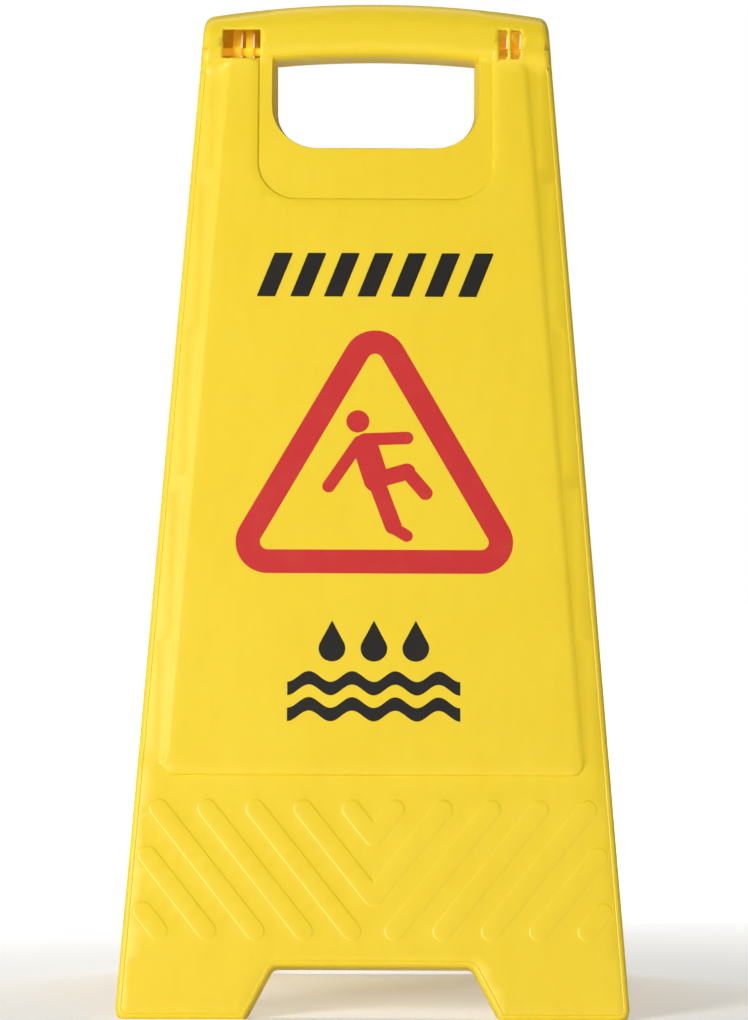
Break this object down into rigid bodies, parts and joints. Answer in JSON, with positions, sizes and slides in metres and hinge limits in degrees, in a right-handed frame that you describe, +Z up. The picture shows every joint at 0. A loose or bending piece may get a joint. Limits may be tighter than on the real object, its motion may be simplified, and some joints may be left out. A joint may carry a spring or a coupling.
{
  "type": "wet floor sign",
  "caption": "Folding A-frame floor warning sign: two tapered moulded panels with feet, hooked together under a split carrying handle.",
  "frame": {"origin": "on the floor, midway between the feet, straight below the hinge axis", "axes": "+Z up; +X along the hinge, to the right of someone facing the front panel; the front panel faces -Y"},
  "size_m": [0.296, 0.3114, 0.5978],
  "materials": {
    "yellow_plastic": "satin moulded polypropylene",
    "red_print": "satin screen-print ink",
    "black_print": "satin screen-print ink"
  },
  "bodies": {
    "front": {"front_panel": "yellow_plastic", "front_banner_bar_1": "black_print", "front_banner_bar_2": "black_print", "front_banner_bar_3": "black_print", "front_banner_bar_4": "black_print", "front_banner_bar_5": "black_print", "front_banner_bar_6": "black_print", "front_banner_bar_7": "black_print", "front_warning_triangle": "red_print", "front_figure_head": "red_print", "front_figure_body": "red_print", "front_water_drop_1": "black_print", "front_water_drop_2": "black_print", "front_water_drop_3": "black_print", "front_water_wave_1": "black_print", "front_water_wave_2": "black_print"},
    "back": {"back_panel": "yellow_plastic", "back_banner_bar_1": "black_print", "back_banner_bar_2": "black_print", "back_banner_bar_3": "black_print", "back_banner_bar_4": "black_print", "back_banner_bar_5": "black_print", "back_banner_bar_6": "black_print", "back_banner_bar_7": "black_print", "back_warning_triangle": "red_print", "back_figure_head": "red_print", "back_figure_body": "red_print", "back_water_drop_1": "black_print", "back_water_drop_2": "black_print", "back_water_drop_3": "black_print", "back_water_wave_1": "black_print", "back_water_wave_2": "black_print"}
  },
  "joints": [
    {"name": "handle_hinge", "type": "hinge", "parent": "front", "child": "back", "pos_m": [0, 0, 0.56909], "axis": [-1, 0, 0], "range_deg": [0, 28]}
  ]
}
